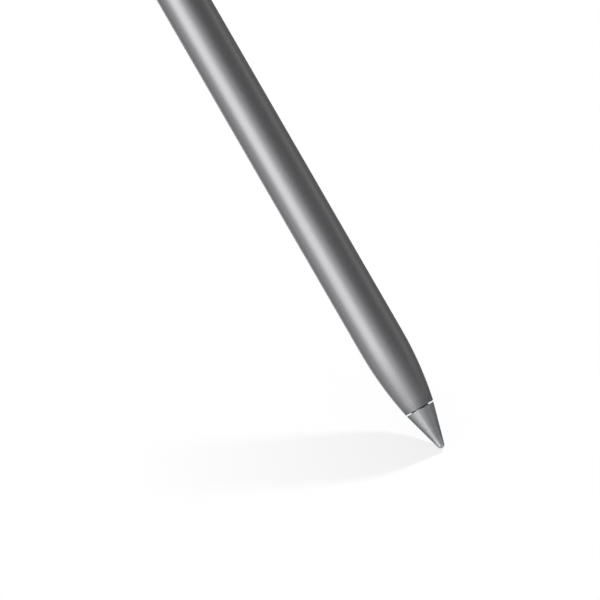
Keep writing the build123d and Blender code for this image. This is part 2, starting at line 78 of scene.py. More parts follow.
# Black for the painted shade towards the mouth and on its rim.
shade_black = (0.02, 0.02, 0.02, 1)
barrel_low, barrel_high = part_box("barrel")
barrel_radius, mouth, barrel_end = barrel_high.x, barrel_low.z, barrel_high.z
nose_end = mouth + nose_length
nose_drop = barrel_radius - mouth_radius
nose_bend = (nose_length**2 + nose_drop**2) / (2 * nose_drop)


def nose_radius(height):
    """The nose is an arc that runs into the straight barrel: R - b + sqrt(b^2 - (end - z)^2)."""
    return barrel_radius - nose_bend + np.sqrt(nose_bend**2 - (nose_end - height) ** 2)


def arc(centre, radius, first, last, count=10):
    """Points of a round edge: centre + radius (cos a, sin a), a in degrees from first to last."""
    angle = np.radians(np.linspace(first, last, count))
    return np.column_stack([centre[0] + radius * np.cos(angle), centre[1] + radius * np.sin(angle)])


def ring_surface(name, rings, closed, material):
    """Quads between each ring of points and the next, and from the last to the first where closed."""
    count, sides = rings.shape[:2]
    row = np.arange(count if closed else count - 1)[:, None]
    column = np.arange(sides)[None, :]
    above, beside = (row + 1) % count, (column + 1) % sides
    corners = (row * sides + column, row * sides + beside, above * sides + beside, above * sides + column)
    quads = np.stack(np.broadcast_arrays(*corners), axis=-1).reshape(-1, 4)
    mesh = bpy.data.meshes.new(name)
    mesh.from_pydata(rings.reshape(-1, 3), [], quads.tolist())
    shell = bmesh.new()
    shell.from_mesh(mesh)
    bmesh.ops.remove_doubles(shell, verts=shell.verts, dist=merge_reach)
    bmesh.ops.recalc_face_normals(shell, faces=shell.faces)
    shell.to_mesh(mesh)
    shell.free()
    mesh.shade_smooth()
    mesh.set_sharp_from_angle(angle=crease)
    mesh.materials.append(material)
    piece = bpy.data.objects.new(name, mesh)
    bpy.context.scene.collection.objects.link(piece)
    return piece


def turned_piece(name, profile, material, sides=192):
    """Each profile point (r, z) goes round the pen's axis: (r cos a, r sin a, z), a over one turn."""
    radius, height = np.vstack(profile).T
    turn = np.linspace(0, 2 * np.pi, sides, endpoint=False)
    x, y = np.outer(radius, np.cos(turn)), np.outer(radius, np.sin(turn))
    z = np.repeat(height[:, None], sides, axis=1)
    return ring_surface(name, np.stack([x, y, z], axis=-1), min(radius[0], radius[-1]) > 0, material)


class Signal:
    """A shader socket that takes part in sums: an expression on signals adds its Math nodes."""

    def __init__(self, socket):
        self.socket = socket
        self.tree = socket.id_data

    def node(self, kind, settings, inputs, output=0):
        """Adds any other node: its settings first, then the values or links of its sockets."""
        made = self.tree.nodes.new(kind)
        for setting, value in settings.items():
            setattr(made, setting, value)
        fill(made, inputs)
        return Signal(made.outputs[output])

    def math(self, operation, *others):
        """A Math node on this value and any others."""
        return self.node("ShaderNodeMath", {"operation": operation}, dict(enumerate((self, *others))))

    def __add__(self, other):
        return self.math("ADD", other)

    def __sub__(self, other):
        return self.math("SUBTRACT", other)

    def __rsub__(self, other):
        return self.math("MULTIPLY_ADD", -1, other)

    def __mul__(self, other):
        return self.math("MULTIPLY", other)

    def __truediv__(self, other):
        return self.math("DIVIDE", other)

    def __abs__(self):
        return self.math("ABSOLUTE")

    __radd__ = __add__
    __rmul__ = __mul__

    def part(self, axis):
        """One coordinate of a vector, X, Y or Z."""
        return self.node("ShaderNodeSeparateXYZ", {}, {0: self}, axis)

    def along(self, way):
        """How far these coordinates are along a direction."""
        return self.node("ShaderNodeVectorMath", {"operation": "DOT_PRODUCT"}, {0: self, 1: way}, "Value")

    def distance(self, point):
        """How far these coordinates are from a point."""
        return self.node("ShaderNodeVectorMath", {"operation": "DISTANCE"}, {0: self, 1: point}, "Value")

    def stretched(self, x, y, z):
        """Coordinates scaled on each axis, for a grain that runs one way."""
        return self.node("ShaderNodeMapping", {}, {"Vector": self, "Scale": (x, y, z)})

    def noise(self, size, detail=2):
        """Soft noise with features of a given size, read at these coordinates."""
        return self.node("ShaderNodeTexNoise", {}, {"Vector": self, "Scale": 1 / size, "Detail": detail})

    def cells(self, size, output):
        """Random cells of a given size: the Distance from a cell's middle, or each cell's own Color."""
        return self.node("ShaderNodeTexVoronoi", {}, {"Vector": self, "Scale": 1 / size}, output)

    def repeat(self, pitch):
        """How far a length is through a pitch that repeats, from 0 to 1."""
        return (self / pitch).math("FRACT")

    def ramp(self, low, high):
        """Rises smoothly from 0 to 1 between two values, or falls where low is the larger."""
        settings = {"interpolation_type": "SMOOTHSTEP"}
        return self.node("ShaderNodeMapRange", settings, {"Value": self, "From Min": low, "From Max": high})

    def spread(self):
        """Soft noise, which keeps near 0.5, spread over 0 to 1."""
        return self.ramp(0.3, 0.7)

    def blend(self, dark, light):
        """A colour between two, by this value; 6, 7 and 2 are the Mix node's colour sockets."""
        return self.node("ShaderNodeMix", {"data_type": "RGBA"}, {0: self, 6: dark, 7: light}, 2)

    def bump(self, depth):
        """The normal of a surface that this value raises by up to a depth."""
        return self.node("ShaderNodeBump", {}, {"Height": self, "Distance": depth})


def fill(node, inputs):
    """Sets each named or numbered socket of a node to a value, or links a signal to it."""
    for key, value in inputs.items():
        if isinstance(value, Signal):
            node.id_data.links.new(value.socket, node.inputs[key])
        else:
            node.inputs[key].default_value = value


def new_finish(name):
    """A material with its shader and the object's own coordinates, which start every pattern."""
    material = bpy.data.materials.new(name)
    material.use_nodes = True
    nodes = material.node_tree.nodes
    return material, nodes["Principled BSDF"], Signal(nodes.new("ShaderNodeTexCoord").outputs["Object"])


def metallic_lacquer():
    """Grey lacquer with metal flake and faint orange peel, paler at the cap's joint, painted darker at the
    mouth as shade.
    """
    material, shader, place = new_finish("metallic_lacquer")
    height = place.part("Z")
    flake = place.cells(flake_size, "Color").part("X")
    drift = place.stretched(1, 1, 0.06).noise(drift_size)
    worn = abs(height - barrel_end).ramp(worn_reach, seat_gap) * place.noise(worn_patch).ramp(0.42, 0.62)
    # Painted shade: the grey darkens over the last few millimetres to the mouth, so the highlight fades
    # there.
    thin = height.ramp(mouth + mouth_shade_start, mouth + mouth_shade_full)
    # Painted shade: the mouth's rim is black, matt and not metallic, for the shade that falls on it.
    rim_shade = height.ramp(mouth + rim_shade_start, mouth + rim_shade_full)
    tone = 0.35 + 0.3 * flake + 0.35 * (drift - 0.5)
    colour = (0.6 * worn).blend(tone.blend(lacquer_dark, lacquer_light), lacquer_worn)
    colour = (0.12 * thin).blend(colour, shade_black)
    fill(shader, {"Base Color": rim_shade.blend(colour, shade_black), "Metallic": lacquer_metal * (1 - rim_shade)})
    fill(shader, {"Roughness": 0.40 + 0.05 * flake - 0.06 * worn + 0.2 * rim_shade})
    fill(shader, {"Normal": place.noise(peel_size).bump(peel_depth)})
    return material


bush_bore = mouth_radius - mouth_lip
spring_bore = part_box("tilt_electrode")[1].x + seat_gap
main_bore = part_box("sensor_housing")[1].x + seat_gap
housing_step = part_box("tilt_electrode")[1].z
bush_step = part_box("front_bush")[1].z - bush_flange
nose_slope = math.asin(nose_length / nose_bend)
nose_start = mouth + rim_edge * (1 - math.sin(nose_slope))
lip_middle = nose_radius(nose_start) - rim_edge * math.cos(nose_slope)
nose_heights = np.linspace(nose_start, nose_end, nose_steps)[1:]
barrel_profile = [
    [(bush_bore, mouth)],
    arc((lip_middle, mouth + rim_edge), rim_edge, -90, -math.degrees(nose_slope)),
    np.column_stack([nose_radius(nose_heights), nose_heights]),
    arc((barrel_radius - rim_edge, barrel_end - rim_edge), rim_edge, 0, 90),
    [(main_bore, barrel_end), (main_bore, housing_step), (spring_bore, housing_step)],
    [(spring_bore, bush_step), (bush_bore, bush_step)],
]
lacquer = metallic_lacquer()
barrel_tube = turned_piece("barrel_tube", barrel_profile, lacquer)
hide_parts("barrel")
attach(barrel_tube, "barrel")

# Nose fittings. A black guide bush, pressed into the nose, carries the nib's neck. A rubber wiper in its
# bore keeps dust out, a rubber washer stops the rod, and a rolled copper sleeve behind it senses tilt.
black_dark, black_light = (0.008, 0.008, 0.009, 1), (0.030, 0.030, 0.032, 1)
rubber_dark, rubber_light = (0.014, 0.014, 0.014, 1), (0.045, 0.045, 0.045, 1)
copper_dark, copper_light = (0.36, 0.15, 0.08, 1), (0.66, 0.33, 0.20, 1)
tarnish_dark = (0.10, 0.08, 0.07, 1)
mould_drift, tarnish_size = 2.4 * mm, 0.8 * mm
line_size, line_depth = 0.05 * mm, 0.003 * mm
along_pen, round_pen, every_way = (1, 1, 0.03), (0.06, 0.06, 1), (1, 1, 1)


def moulded(name, dark, light, gloss, grain):
    """Plastic or rubber from a mould: a slow drift of tone, and a fine grain of a given size."""
    material, shader, place = new_finish(name)
    fine = place.noise(grain)
    tone = 0.55 * place.noise(mould_drift, detail=3) + 0.45 * fine
    fill(shader, {"Base Color": tone.spread().blend(dark, light)})
    fill(shader, {"Roughness": gloss + 0.16 * (fine - 0.5), "Normal": fine.bump(0.06 * grain)})
    return material


def bare_metal(name, dark, light, gloss, run):
    """Bare metal with fine lines along the axis whose scale in run is small, and a thin dull tarnish."""
    material, shader, place = new_finish(name)
    lines = place.stretched(*run).noise(line_size, detail=3)
    tarnish = place.noise(tarnish_size, detail=3).ramp(0.5, 0.8)
    colour = (0.35 * tarnish).blend(lines.spread().blend(dark, light), tarnish_dark)
    fill(shader, {"Base Color": colour, "Metallic": 1.0, "Roughness": gloss + 0.16 * lines + 0.12 * tarnish})
    fill(shader, {"Normal": lines.bump(line_depth)})
    return material


def dress(material, *names):
    """Gives a finish to CAD pieces, whose shapes stay as they are."""
    for name in names:
        frame["nodes"][name].material_slots[0].material = material


black_plastic = moulded("black_plastic", black_dark, black_light, gloss=0.48, grain=0.09 * mm)
soft_rubber = moulded("soft_rubber", rubber_dark, rubber_light, gloss=0.78, grain=0.05 * mm)
bare_copper = bare_metal("bare_copper", copper_dark, copper_light, gloss=0.24, run=along_pen)
dress(black_plastic, "front_bush")
dress(soft_rubber, "wiper_seal", "stop_washer")
dress(bare_copper, "tilt_electrode")

# Pressure rod and return spring. The rod is turned from white acetal: its peg carries the nib, and its
# flange stops on the washer. The spring is drawn steel wire, wound cold. It pushes the rod forwards. In the
# pen it shortens by the nib's travel when pressed; here the share it keeps is worked out, and it is drawn at
# rest.
spring_wire = 0.3 * mm
spring_turns = 4
turn_steps, wire_sides, end_steps = 48, 16, 6
acetal_dark, acetal_light = (0.66, 0.66, 0.63, 1), (0.80, 0.80, 0.77, 1)
steel_dark, steel_light = (0.34, 0.34, 0.35, 1), (0.62, 0.62, 0.63, 1)
white_plastic = moulded("white_plastic", acetal_dark, acetal_light, gloss=0.42, grain=0.12 * mm)
drawn_steel = bare_metal("drawn_steel", steel_dark, steel_light, gloss=0.22, run=every_way)
press_travel = next(joint for joint in frame["joints"] if joint["name"] == "nib_press")["range_m"][1]
spring_low, spring_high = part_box("return_spring")


def wound_spring():
    """A wire of radius w round the helix (R cos u, R sin u, low + c u), with a half ball at each end."""
    wire = spring_wire / 2
    coil = spring_high.x - wire
    whole = 2 * np.pi * spring_turns
    climb = (spring_high.z - spring_low.z - spring_wire) / whole
    ball = np.radians(np.linspace(90, 0, end_steps, endpoint=False))
    start = wire / coil * (1 - np.sin(ball))
    turns = np.linspace(wire / coil, whole - wire / coil, spring_turns * turn_steps + 1)
    along = np.concatenate([start, turns, whole - start[::-1]])[:, None, None]
    girth = wire * np.concatenate([np.cos(ball), np.ones(len(turns)), np.cos(ball[::-1])])[:, None, None]
    round_wire = np.linspace(0, 2 * np.pi, wire_sides, endpoint=False)[None, :, None]
    rise = climb / coil
    outward = np.concatenate([np.cos(along), np.sin(along), 0 * along], axis=-1)
    upward = np.concatenate([rise * np.sin(along), -rise * np.cos(along), 1 + 0 * along], axis=-1)
    upward = upward / math.sqrt(1 + rise**2)
    middle = coil * outward + (spring_low.z + wire + climb * along) * np.array([0, 0, 1])
    rings = middle + girth * (np.cos(round_wire) * outward + np.sin(round_wire) * upward)
    return ring_surface("spring_coil", rings, False, drawn_steel)


spring_coil = wound_spring()
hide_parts("return_spring")
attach(spring_coil, "barrel")
spring_kept = 1 - press_travel / (spring_high.z - spring_low.z)
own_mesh(spring_coil)
dress(white_plastic, "pressure_rod")

# Force sensor. A sealed sensor sits on a small round board, with a silicone pad between it and the rod,
# which gives by the nib's travel in the pen; here the share of its height it keeps is worked out, and it is
# drawn at rest. A black cup holds them, a slotted plug clamps the board in the cup, and a ribbon leads out
# through the plug.
pad_edge = 0.15 * mm
pad_sides = 64
pin_inset = 0.2
epoxy_grain, dot_depth = 0.05 * mm, 0.006 * mm
track_pitch, track_run, via_pitch = 0.44 * mm, 0.5 * mm, 1.3 * mm
mask_drift, copper_height = 2.5 * mm, 0.02 * mm
strip_pitch, strip_height, film_drift = 0.37 * mm, 0.012 * mm, 1.1 * mm
mask_dark, mask_light = (0.006, 0.050, 0.024, 1), (0.012, 0.090, 0.042, 1)
mask_on_copper = (0.030, 0.170, 0.075, 1)
solder_tin = (0.60, 0.60, 0.58, 1)
epoxy_dark, epoxy_light = (0.010, 0.010, 0.010, 1), (0.028, 0.028, 0.028, 1)
pin_mark = (0.16, 0.16, 0.16, 1)
amber_dark, amber_light = (0.27, 0.10, 0.014, 1), (0.42, 0.17, 0.026, 1)
film_on_copper = (0.50, 0.20, 0.060, 1)


def chip_epoxy(node):
    """Fine-grained black epoxy, with a pale dot in the corner of the first pin."""
    material, shader, place = new_finish(node + "_epoxy")
    low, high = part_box(node)
    inset = pin_inset * (high.x - low.x)
    first_pin = Vector((low.x + inset, high.y, low.z + inset))
    dot = place.distance(first_pin).ramp(0.42 * inset, 0.36 * inset)
    fine = place.noise(epoxy_grain, detail=3)
    colour = dot.blend(fine.spread().blend(epoxy_dark, epoxy_light), pin_mark)
    fill(shader, {"Base Color": colour, "Roughness": 0.5 + 0.14 * fine - 0.12 * dot})
    fill(shader, {"Normal": (fine - dot).bump(dot_depth)})
    return material


def circuit_board(name, flat):
    """Green mask over copper tracks, with tinned vias; the scale in flat drops the board's thickness."""
    material, shader, place = new_finish(name)
    face = place.stretched(*flat)
    track = abs(place.part("X").repeat(track_pitch) - 0.5).ramp(0.26, 0.20)
    track = track * face.stretched(1, 1, 0.15).noise(track_run).ramp(0.46, 0.52)
    via = face.cells(via_pitch, "Distance").ramp(0.17, 0.13)
    tone = face.noise(mask_drift, detail=3).spread()
    colour = (0.7 * track).blend(tone.blend(mask_dark, mask_light), mask_on_copper)
    fill(shader, {"Base Color": via.blend(colour, solder_tin), "Metallic": 0.9 * via})
    fill(shader, {"Roughness": 0.30 + 0.08 * tone + 0.05 * via})
    fill(shader, {"Normal": (track + via).bump(copper_height)})
    return material


def ribbon_film(name):
    """Amber film laid over copper strips that run along the ribbon."""
    material, shader, place = new_finish(name)
    strip = abs(place.part("X").repeat(strip_pitch) - 0.5).ramp(0.32, 0.26)
    tone = place.noise(film_drift, detail=3).spread()
    colour = (0.65 * strip).blend(tone.blend(amber_dark, amber_light), film_on_copper)
    fill(shader, {"Base Color": colour, "Metallic": 0.25 * strip, "Roughness": 0.26 + 0.12 * tone})
    fill(shader, {"Coat Weight": 0.3, "Normal": strip.bump(strip_height)})
    return material


pad_low, pad_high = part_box("sensor_pad")
pad_middle = pad_high.x - pad_edge
pad_profile = [
    [(0, pad_low.z)],
    arc((pad_middle, pad_low.z + pad_edge), pad_edge, -90, 0),
    arc((pad_middle, pad_high.z - pad_edge), pad_edge, 0, 90),
    [(0, pad_high.z)],
]
silicone_pad = turned_piece("silicone_pad", pad_profile, soft_rubber, pad_sides)
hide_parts("sensor_pad")
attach(silicone_pad, "barrel")
pad_kept = 1 - press_travel / (pad_high.z - pad_low.z)
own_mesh(silicone_pad)
amber_ribbon = ribbon_film("amber_ribbon")
dress(chip_epoxy("force_sensor"), "force_sensor")
dress(circuit_board("round_board", flat=(1, 1, 0)), "sensor_board")
dress(black_plastic, "sensor_housing", "sensor_plug")
dress(amber_ribbon, "sensor_flex")

# Chassis and circuit board. An open black frame carries the board on two screws. The chips are moulded
# packages soldered flat, the radio has a stamped tin lid, and two rows of fired capacitors stand beside.
capacitor_length = 1.0 * mm
capacitor_steps = 2
fired_grain, fired_depth = 0.07 * mm, 0.005 * mm
fired_dark, fired_light = (0.16, 0.095, 0.050, 1), (0.27, 0.17, 0.095, 1)
tin_dark, tin_light = (0.42, 0.42, 0.41, 1), (0.66, 0.66, 0.65, 1)


def fired_capacitors():
    """Tan fired bodies with tinned ends: each pitch along the row holds one body at its start."""
    material, shader, place = new_finish("fired_capacitors")
    low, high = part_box("board_capacitors")
    pitch = (high.z - low.z - capacitor_length) / capacitor_steps
    through = (place.part("Z") - (low.z - seat_gap)).repeat(pitch) * (pitch / capacitor_length)
    tinned = abs(through - 0.5).ramp(0.22, 0.25)
    fine = place.noise(fired_grain, detail=3)
    body = fine.spread().blend(fired_dark, fired_light)
    fill(shader, {"Base Color": tinned.blend(body, solder_tin), "Metallic": 0.9 * tinned})
    fill(shader, {"Roughness": 0.36 + 0.14 * fine, "Normal": fine.bump(fired_depth)})
    return material


tinned_sheet = bare_metal("tinned_sheet", tin_dark, tin_light, gloss=0.26, run=along_pen)
dress(black_plastic, "chassis")
dress(circuit_board("long_board", flat=(1, 0, 1)), "main_board")
for chip in ("radio_chip", "controller_chip", "motion_sensor", "charger_chip"):
    dress(chip_epoxy(chip), chip)
dress(tinned_sheet, "shield_can")
dress(fired_capacitors(), "board_capacitors")
dress(white_plastic, "flex_connectors")
dress(drawn_steel, "board_screws")

# Cell. A round lithium cell in a drawn and crimped can, with two welded tabs to the board and a soft
# foam disc behind that takes up the play.
can_line, scuff_size = 0.07 * mm, 0.8 * mm
crimp_place, crimp_half, crimp_depth = 1.6 * mm, 0.35 * mm, 0.08 * mm
can_dark, can_light = (0.40, 0.40, 0.42, 1), (0.64, 0.64, 0.66, 1)
foam_dark, foam_light = (0.030, 0.030, 0.032, 1), (0.085, 0.085, 0.090, 1)


def drawn_can():
    """Drawn metal with long fine lines, scuffs, and a dark crimp ring near the front."""
    material, shader, place = new_finish("drawn_can")
    lines = place.stretched(*along_pen).noise(can_line, detail=3)
    scuff = place.stretched(1, 1, 0.4).noise(scuff_size, detail=3).ramp(0.56, 0.72)
    crimp = abs(place.part("Z") - (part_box("battery_cell")[0].z + crimp_place)).ramp(crimp_half, 0)
    colour = (0.4 * scuff + 0.5 * crimp).blend(lines.spread().blend(can_dark, can_light), tarnish_dark)
    fill(shader, {"Base Color": colour, "Metallic": 1.0, "Roughness": 0.24 + 0.14 * lines + 0.16 * scuff})
    fill(shader, {"Normal": (0.05 * lines - crimp).bump(crimp_depth)})
    return material


dress(drawn_can(), "battery_cell")
dress(tinned_sheet, "battery_tabs")
dress(moulded("open_foam", foam_dark, foam_light, gloss=0.9, grain=0.14 * mm), "battery_foam")

# Charging parts. A flat coil of enamelled wire lies on a ferrite plate, between two plated magnets.
# A long ribbon joins them to the board, and a touch strip lines the barrel's wall above the board.
wire_pitch, wire_height, enamel_drift = 0.16 * mm, 0.04 * mm, 0.3 * mm
ferrite_grain, ferrite_depth, ferrite_drift = 0.10 * mm, 0.01 * mm, 0.9 * mm
# Enamel greys; the ramp between them across each wire is painted shade and sheen.
enamel_dark, enamel_light = (0.26, 0.085, 0.035, 1), (0.52, 0.21, 0.095, 1)
ferrite_dark, ferrite_light = (0.010, 0.010, 0.011, 1), (0.050, 0.049, 0.048, 1)
nickel_dark, nickel_light = (0.52, 0.50, 0.47, 1), (0.70, 0.68, 0.64, 1)


def wound_wire():
    """Turns of wire round a racetrack: lines at even distances r = |(x, past the straight in z)|."""
    material, shader, place = new_finish("wound_wire")
    low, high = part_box("charging_coil")
    straight = (high.z - low.z - high.x + low.x) / 2
    past = (abs(place.part("Z") - (low.z + high.z) / 2) - straight).math("MAXIMUM", 0)
    across = place.part("X")
    turn = 1 - 2 * abs((across * across + past * past).math("SQRT").repeat(wire_pitch) - 0.5)
    # Painted shade and sheen: the enamel is lighter along each wire's crown and darker in the grooves
    # between turns.
    tone = 0.7 * turn + 0.3 * place.noise(enamel_drift)
    fill(shader, {"Base Color": tone.ramp(0.1, 0.8).blend(enamel_dark, enamel_light), "Metallic": 0.85})
    fill(shader, {"Roughness": 0.38 - 0.12 * turn, "Normal": turn.bump(wire_height)})
    return material


def sintered_ferrite():
    """Dull black-grey grains of many tones, pressed and fired."""
    material, shader, place = new_finish("sintered_ferrite")
    grain = place.cells(ferrite_grain, "Color").part("X")
    tone = 0.6 * grain + 0.4 * place.noise(ferrite_drift, detail=3)
    fill(shader, {"Base Color": tone.blend(ferrite_dark, ferrite_light), "Roughness": 0.55 + 0.2 * grain})
    fill(shader, {"Normal": grain.bump(ferrite_depth)})
    return material


plated_nickel = bare_metal("plated_nickel", nickel_dark, nickel_light, gloss=0.12, run=every_way)
dress(sintered_ferrite(), "ferrite_plate")
dress(wound_wire(), "charging_coil")
dress(plated_nickel, "holding_magnets")
dress(amber_ribbon, "main_flex", "touch_strip")

# End cap. A plug in the same lacquer as the barrel, with a softly crowned end and a hollow spigot.
# It is pressed into the tube on a rubber ring, and a hairline shows where the two meet. Inside it a
# white carrier holds the stamped antenna, and a slotted black ring in front locks the chassis.
cap_corner, corner_steps = 1.8 * mm, 24
cap_crown, crown_steps = 12 * mm, 16
spigot_wall = 0.85 * mm
seal_section = 0.5 * mm
cap_low, cap_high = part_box("end_cap")
cap_rim = barrel_end + seat_gap
seal_middle = (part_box("cap_seal")[0].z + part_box("cap_seal")[1].z) / 2
groove_low, groove_high = seal_middle - seal_section / 2, seal_middle + seal_section / 2
spigot_radius = main_bore - seat_gap
spigot_bore = spigot_radius - spigot_wall
groove_floor = main_bore - seal_section
corner_middle = barrel_radius - cap_corner
crown_middle = cap_high.z - cap_crown
corner_rise = math.sqrt((cap_crown - cap_corner) ** 2 - corner_middle**2)
crown_degrees = math.degrees(math.atan2(corner_rise, corner_middle))
cap_profile = [
    [(0, barrel_end), (spigot_bore, barrel_end), (spigot_bore, cap_low.z), (spigot_radius, cap_low.z)],
    [(spigot_radius, groove_low), (groove_floor, groove_low)],
    [(groove_floor, groove_high), (spigot_radius, groove_high), (spigot_radius, cap_rim)],
    arc((barrel_radius - rim_edge, cap_rim + rim_edge), rim_edge, -90, 0),
    arc((corner_middle, crown_middle + corner_rise), cap_corner, 0, crown_degrees, corner_steps),
    arc((0, crown_middle), cap_crown, crown_degrees, 90, crown_steps)[1:],
]
cap_profile[-1][-1, 0] = 0
cap_plug = turned_piece("cap_plug", cap_profile, lacquer)
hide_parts("end_cap")
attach(cap_plug, "barrel")
dress(black_plastic, "lock_ring")
dress(white_plastic, "antenna_carrier")
dress(bare_copper, "antenna")
dress(soft_rubber, "cap_seal")

# Nib. A hard grey plastic cone with a ball point, moulded in one with a neck that slides in the nose. The
# neck is painted black as the shade inside the nose's mouth. A slit brass collet in its socket grips the
# rod's peg, so it pulls off by hand. The grey is painted darker towards the point as shade, and the point
# is paler and matt, partly worn by the glass it writes on and partly a painted highlight.
cone_length = 8.32 * mm
cone_step = 0.1 * mm
cone_edge = 0.05 * mm
ball_radius, ball_steps = 0.72 * mm, 24
neck_wall = 0.53 * mm
neck_shade_start, neck_shade_full = cone_length + 0.12 * mm, cone_length + 0.19 * mm
worn_highlight_start, worn_highlight_full, rub_patch = 2.6 * mm, 0.1 * mm, 0.25 * mm
swirl_size = 0.9 * mm
fine_size, fine_depth = 0.06 * mm, 0.0006 * mm
# The nib's two greys. The ramp between them by height is painted shade; the swirl between them is the
# plastic's own.
nib_dark, nib_light = (0.203, 0.209, 0.216, 1), (0.310, 0.318, 0.328, 1)
nib_worn_highlight = (0.50, 0.51, 0.51, 1)
nib_metal, edge_tint = 0.75, (0.15, 0.15, 0.15, 1)
neck_shade_black = (0.012, 0.013, 0.014, 1)
brass_dark, brass_light = (0.44, 0.28, 0.09, 1), (0.72, 0.52, 0.22, 1)
neck_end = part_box("nib")[1].z
socket_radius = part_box("nib_collet")[1].x + seat_gap
socket_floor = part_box("nib_collet")[0].z - seat_gap
neck_radius = socket_radius + neck_wall
cone_base = mouth_radius - cone_step
cone_rise = cone_length - ball_radius
cone_slope = math.atan2(cone_base, cone_rise) - math.asin(ball_radius / math.hypot(cone_base, cone_rise))


def nib_plastic():
    """Cool grey plastic with a slight swirl, painted shade towards the point and black on the neck, and a
    point paler from wear and painted highlight.
    """
    material, shader, place = new_finish("nib_plastic")
    height = place.part("Z")
    swirl = place.stretched(1, 1, 0.35).noise(swirl_size, detail=3)
    fine = place.noise(fine_size)
    # Wear and painted highlight: the point is paler and matt, partly worn by the glass and partly lightened
    # as a highlight.
    worn_and_highlit = height.ramp(worn_highlight_start, worn_highlight_full) * place.noise(rub_patch).ramp(0.1, 0.8)
    # Painted shade: the neck is black where the nose's mouth shades it.
    neck_shade = height.ramp(neck_shade_start, neck_shade_full)
    # Painted shade: the height ramp makes the grey darker towards the point, so that the highlight fades
    # there.
    tone = 0.72 * (height / cone_length) + 0.3 * swirl + 0.1 * fine - 0.05
    colour = (0.8 * worn_and_highlit).blend(tone.blend(nib_dark, nib_light), nib_worn_highlight)
    colour = neck_shade.blend(colour, neck_shade_black)
    gloss = 0.30 + 0.06 * swirl + 0.10 * worn_and_highlit + 0.22 * neck_shade
    fill(shader, {"Base Color": colour, "Metallic": nib_metal * (1 - neck_shade), "Roughness": gloss})
    fill(shader, {"Specular Tint": edge_tint, "Normal": fine.bump(fine_depth)})
    return material


cone_degrees = math.degrees(cone_slope)
edge_radius = cone_base - cone_edge * math.tan(cone_slope)
edge_middle = (edge_radius - cone_edge * math.cos(cone_slope), cone_length - cone_edge)
nib_profile = [
    arc((0, ball_radius), ball_radius, -90, -cone_degrees, ball_steps),
    arc(edge_middle, cone_edge, -cone_degrees, 90),
    [(neck_radius, cone_length), (neck_radius, neck_end), (socket_radius, neck_end)],
    [(socket_radius, socket_floor), (0, socket_floor)],
]
nib_profile[0][0, 0] = 0
nib_tip = turned_piece("nib_tip", nib_profile, nib_plastic())
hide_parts("nib")
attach(nib_tip, "nib")
dress(bare_metal("turned_brass", brass_dark, brass_light, gloss=0.20, run=round_pen), "nib_collet")

# Studio floor. A white sheet that the point rests on. It shows as a thin veil that takes the pen's soft
# shadow. By that shadow's shape, the photograph's camera looks down on it by about 44 degrees.
pen_lean = math.radians(30)
view_right = Vector((math.cos(pen_lean), 0, -math.sin(pen_lean)))
view_up = Vector((math.sin(pen_lean), 0, math.cos(pen_lean)))
view_back = Vector((0, -1, 0))
look_down = math.radians(44)
floor_up = view_up * math.cos(look_down) + view_back * math.sin(look_down)
floor_depth = floor_up.cross(view_right)
floor_reach, floor_sides = 58 * mm, 64
floor_white = (0.92, 0.92, 0.92, 1)
veil_most = 0.22
veil_whole, veil_gone = 1.0 * mm, 4.5 * mm
nib_side = 0.75 * view_right - floor_depth
contact = Vector((0, 0, ball_radius)) - floor_up * ball_radius


def floor_sheet(material):
    """A flat round sheet inside the rim contact + R (cos a right + sin a depth)."""
    turn = np.linspace(0, 2 * np.pi, floor_sides, endpoint=False)[:, None]
    rim = np.array(contact) + floor_reach * (np.cos(turn) * view_right + np.sin(turn) * floor_depth)
    mesh = bpy.data.meshes.new("floor_sheet")
    mesh.from_pydata(rim, [], [list(range(floor_sides))])
    mesh.materials.append(material)
    sheet = bpy.data.objects.new("floor_sheet", mesh)
    bpy.context.scene.collection.objects.link(sheet)
    return sheet


def floor_paper():
    """Matt paper behind a veil, most (1 - r / reach), that clears from below and on the nib's own side."""
    material, shader, place = new_finish("floor_paper")
    nodes, links = material.node_tree.nodes, material.node_tree.links
    from_below = Signal(nodes.new("ShaderNodeNewGeometry").outputs["Backfacing"])
    clear_of_nib = (place.along(nib_side) - contact.dot(nib_side)).ramp(veil_gone, veil_whole)
    fading = (1 - place.distance(contact) / floor_reach).math("MAXIMUM", 0)
    veil = veil_most * fading * (1 - from_below) * clear_of_nib
    clear = nodes.new("ShaderNodeBsdfTransparent")
    fill(shader, {"Base Color": floor_white, "Roughness": 1.0, "Specular IOR Level": 0.0})
    mixed = nodes.new("ShaderNodeMixShader")
    fill(mixed, {0: veil, 1: Signal(clear.outputs[0]), 2: Signal(shader.outputs[0])})
    links.new(mixed.outputs[0], nodes["Material Output"].inputs["Surface"])
    return material


floor = floor_sheet(floor_paper())
floor.visible_glossy = False

# Studio light. A long soft strip left of the camera, carried on below by two short ones, draws the
# highlight down the barrel, nose and nib. A small key light behind on the right casts the shadow. Curved
# cards, seen in reflections alone, darken the right side and give the left and back their pale edges.
pen_axis = Vector((0, 0, 1))
key_way = (0.30 * view_right + 0.95 * view_up - 0.06 * view_back).normalized()
key_distance = 1.5
card_radius, card_top, card_steps = 0.3, 0.5, 24
dim, grey, bright = 0.265, 0.5, 2.9


def soft_box(name, place, target, along, size, watts):
    """A rectangular soft light that faces a point, with its second side along a direction."""
    light = bpy.data.lights.new(name, "AREA")
    light.shape = "RECTANGLE"
    light.size, light.size_y = size
    light.energy = watts
    box = bpy.data.objects.new(name, light)
    back = (place - target).normalized()
    side = along.cross(back).normalized()
    box.matrix_world = Matrix((side, back.cross(side), back)).transposed().to_4x4()
    box.location = place
    box.visible_camera = False
    bpy.context.scene.collection.objects.link(box)
    return box


